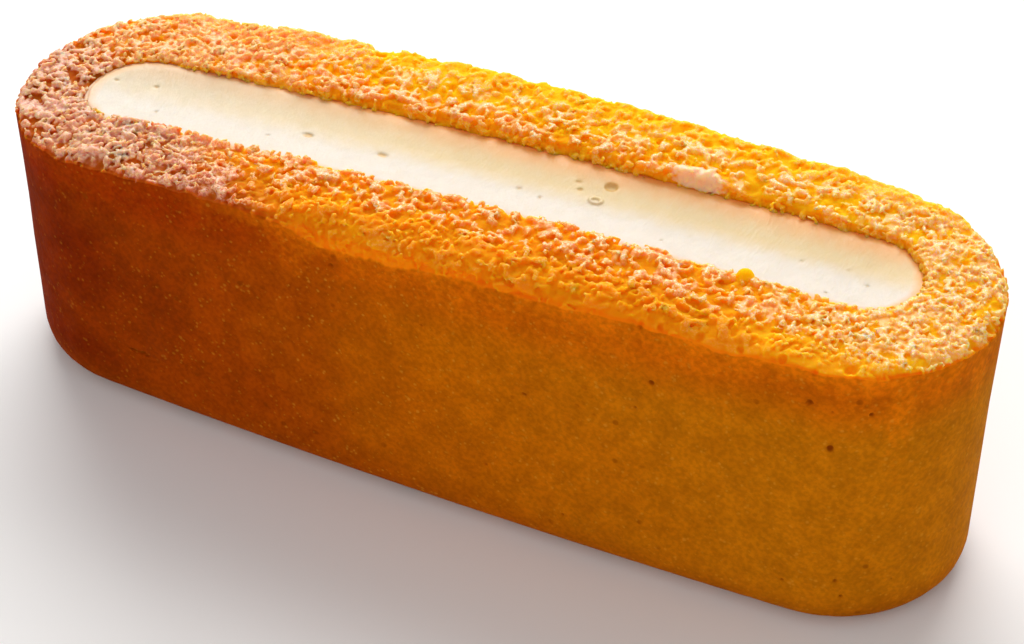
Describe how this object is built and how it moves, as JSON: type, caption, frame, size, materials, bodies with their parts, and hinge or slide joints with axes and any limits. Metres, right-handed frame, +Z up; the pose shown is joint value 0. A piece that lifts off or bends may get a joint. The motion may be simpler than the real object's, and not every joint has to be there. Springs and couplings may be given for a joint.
{
  "type": "lemon loaf cake",
  "caption": "Oblong single-serving sponge cake with round ends, browned smooth sides and an open-crumbed top, with set lemon cream filling a slot along its middle.",
  "frame": {"origin": "middle of the flat underside, on the surface that the cake stands on", "axes": "+X along the length towards the paler end, +Y across the width, +Z up"},
  "size_m": [0.13, 0.0382, 0.0426],
  "materials": {
    "sponge": "baked golden-brown sponge, smooth and satin on the sides, open crumb on top",
    "lemon_cream": "set ivory cream, soft gloss, with a few small bubbles"
  },
  "bodies": {
    "root": {"sponge": "sponge", "lemon_cream": "lemon_cream"}
  },
  "joints": []
}
